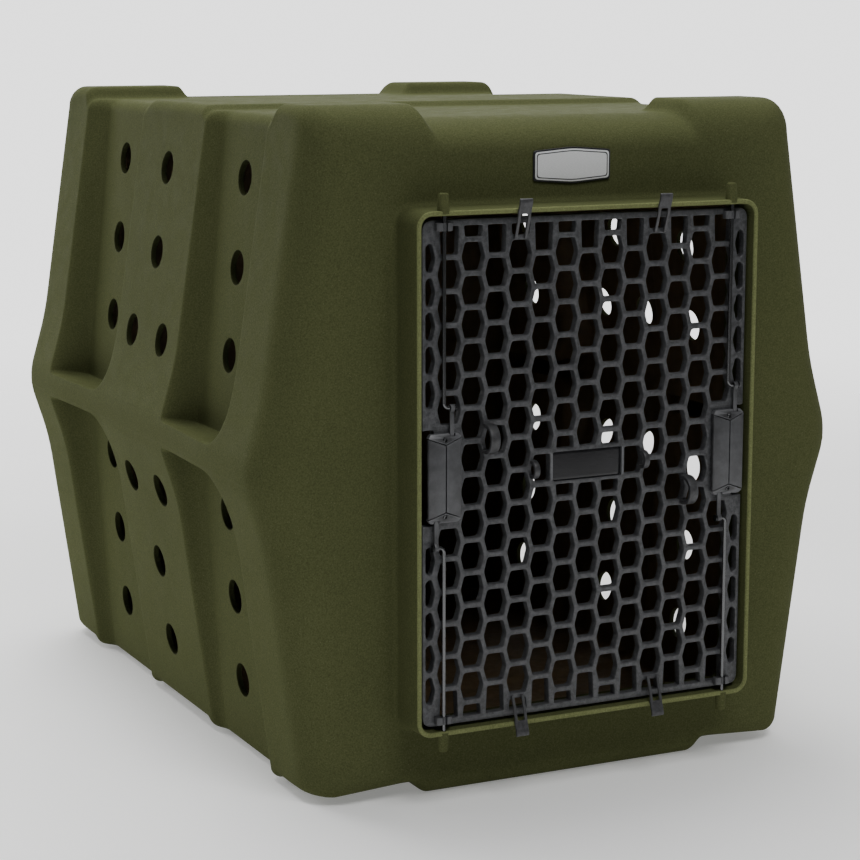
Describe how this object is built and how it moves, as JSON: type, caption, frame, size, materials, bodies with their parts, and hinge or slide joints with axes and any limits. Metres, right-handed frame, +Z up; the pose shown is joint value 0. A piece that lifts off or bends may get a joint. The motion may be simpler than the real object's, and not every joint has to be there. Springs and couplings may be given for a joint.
{
  "type": "pet transport carrier",
  "caption": "Rotomoulded pet transport carrier with vented ribbed sides and a removable honeycomb door held in a collar by sprung rods and squeeze latches.",
  "frame": {"origin": "on the floor under the middle of the overall box", "axes": "+X to the carrier's right seen from the door, +Y from the door to the rear wall, +Z up"},
  "size_m": [0.6788, 0.876, 0.7],
  "materials": {
    "body": "olive drab rotomoulded polyethylene, satin, finely speckled",
    "badge": "satin plate with a black border",
    "door": "black moulded nylon, mottled",
    "plate": "gloss black",
    "steel": "drawn stainless rod",
    "latch": "black moulded nylon",
    "spring": "spring wire"
  },
  "bodies": {
    "shell": {"body_shell": "body", "name_badge": "badge"},
    "door": {"door_panel": "door", "centre_plate": "plate", "left_leash_loop": "door", "right_leash_loop": "door", "left_plate_lug": "door", "right_plate_lug": "door", "left_upper_hook": "door", "left_upper_rod_guide": "door", "left_upper_latch_spring": "spring", "left_upper_latch_screw": "steel", "left_lower_hook": "door", "left_lower_rod_guide": "door", "left_lower_latch_spring": "spring", "left_lower_latch_screw": "steel", "right_upper_hook": "door", "right_upper_rod_guide": "door", "right_upper_latch_spring": "spring", "right_upper_latch_screw": "steel", "right_lower_hook": "door", "right_lower_rod_guide": "door", "right_lower_latch_spring": "spring", "right_lower_latch_screw": "steel", "left_latch_base": "latch", "right_latch_base": "latch"},
    "left_upper_rod": {"left_upper_rod": "steel", "left_upper_drawbar": "latch", "left_upper_retaining_ring": "steel"},
    "left_lower_rod": {"left_lower_rod": "steel", "left_lower_drawbar": "latch", "left_lower_retaining_ring": "steel"},
    "right_upper_rod": {"right_upper_rod": "steel", "right_upper_drawbar": "latch", "right_upper_retaining_ring": "steel"},
    "right_lower_rod": {"right_lower_rod": "steel", "right_lower_drawbar": "latch", "right_lower_retaining_ring": "steel"},
    "left_outer_grip": {"left_latch_outer_grip": "latch"},
    "left_inner_grip": {"left_latch_inner_grip": "latch"},
    "right_outer_grip": {"right_latch_outer_grip": "latch"},
    "right_inner_grip": {"right_latch_inner_grip": "latch"}
  },
  "joints": [
    {"name": "door_swing", "type": "hinge", "parent": "shell", "child": "door", "pos_m": [-0.1638, -0.421, 0.3395], "axis": [0, 0, -1], "range_deg": [0, 110]},
    {"name": "left_latch_release", "type": "slide", "parent": "door", "child": "left_upper_rod", "axis": [0, 0, -1], "range_m": [0, 0.013], "stiffness_N_per_m": 250, "springref_m": -0.02, "deforming": ["left_upper_latch_spring"]},
    {"name": "left_lower_rod_slide", "type": "slide", "parent": "door", "child": "left_lower_rod", "axis": [0, 0, 1], "range_m": [0, 0.013], "deforming": ["left_lower_latch_spring"]},
    {"name": "left_outer_grip_squeeze", "type": "hinge", "parent": "door", "child": "left_outer_grip", "pos_m": [-0.1653, -0.4256, 0.3395], "axis": [0, 0, -1], "range_deg": [0, 7.2]},
    {"name": "left_inner_grip_squeeze", "type": "hinge", "parent": "door", "child": "left_inner_grip", "pos_m": [-0.1623, -0.4256, 0.3395], "axis": [0, 0, 1], "range_deg": [0, 7.2]},
    {"name": "right_latch_release", "type": "slide", "parent": "door", "child": "right_upper_rod", "axis": [0, 0, -1], "range_m": [0, 0.013], "stiffness_N_per_m": 250, "springref_m": -0.02, "deforming": ["right_upper_latch_spring"]},
    {"name": "right_lower_rod_slide", "type": "slide", "parent": "door", "child": "right_lower_rod", "axis": [0, 0, 1], "range_m": [0, 0.013], "deforming": ["right_lower_latch_spring"]},
    {"name": "right_outer_grip_squeeze", "type": "hinge", "parent": "door", "child": "right_outer_grip", "pos_m": [0.1653, -0.4256, 0.3395], "axis": [0, 0, 1], "range_deg": [0, 7.2]},
    {"name": "right_inner_grip_squeeze", "type": "hinge", "parent": "door", "child": "right_inner_grip", "pos_m": [0.1623, -0.4256, 0.3395], "axis": [0, 0, -1], "range_deg": [0, 7.2]}
  ],
  "couplings": [
    {"joint": "left_lower_rod_slide", "follows": "left_latch_release", "ratio": 1},
    {"joint": "left_outer_grip_squeeze", "follows": "left_latch_release", "rad_per_m": 9.39},
    {"joint": "left_inner_grip_squeeze", "follows": "left_latch_release", "rad_per_m": 9.39},
    {"joint": "right_lower_rod_slide", "follows": "right_latch_release", "ratio": 1},
    {"joint": "right_outer_grip_squeeze", "follows": "right_latch_release", "rad_per_m": 9.39},
    {"joint": "right_inner_grip_squeeze", "follows": "right_latch_release", "rad_per_m": 9.39}
  ]
}
